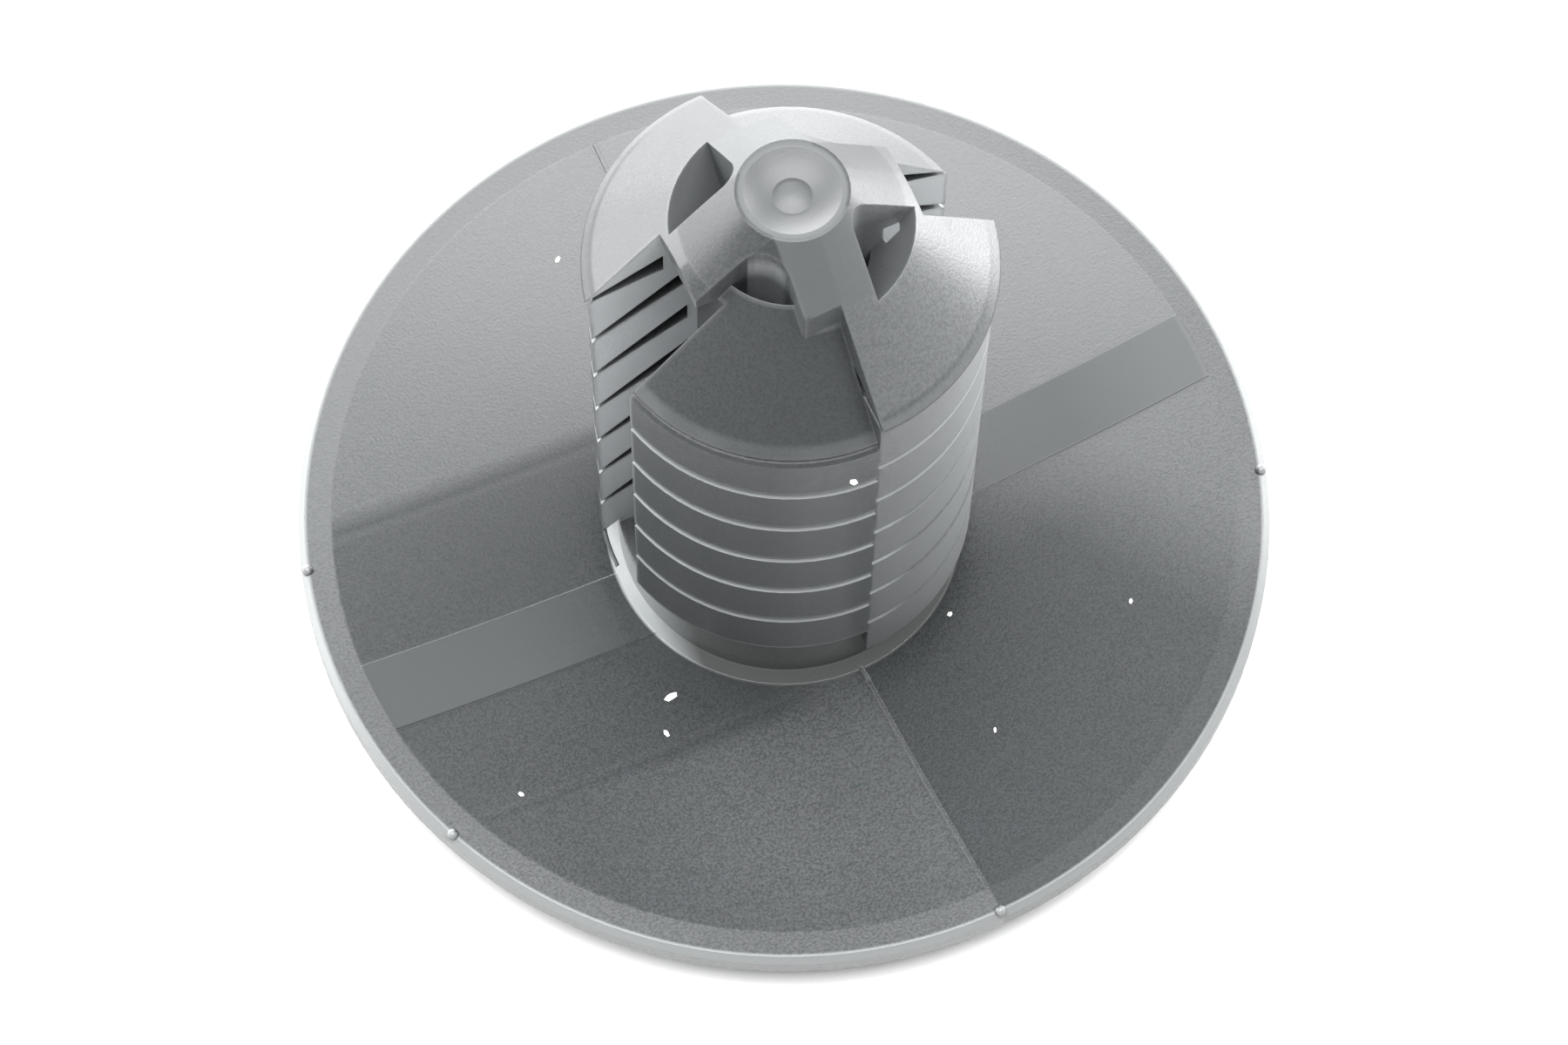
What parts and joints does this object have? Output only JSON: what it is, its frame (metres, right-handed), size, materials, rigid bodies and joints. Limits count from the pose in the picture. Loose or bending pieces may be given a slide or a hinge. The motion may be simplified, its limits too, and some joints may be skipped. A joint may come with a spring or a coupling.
{
  "type": "push-in trim clip",
  "caption": "Moulded push-in trim clip with a dished disc head and a slotted shank of staggered flexible barbs that grip a panel hole.",
  "frame": {"origin": "centre of the flat land on the outer face of the disc head, where the clip stands", "axes": "+Z along the shank towards its nose, X along the two side slots, Y along the mould line"},
  "size_m": [0.03, 0.03, 0.0225],
  "materials": {
    "clip": "dark grey moulded plastic, half matt"
  },
  "bodies": {
    "root": {"clip": "clip"}
  },
  "joints": []
}
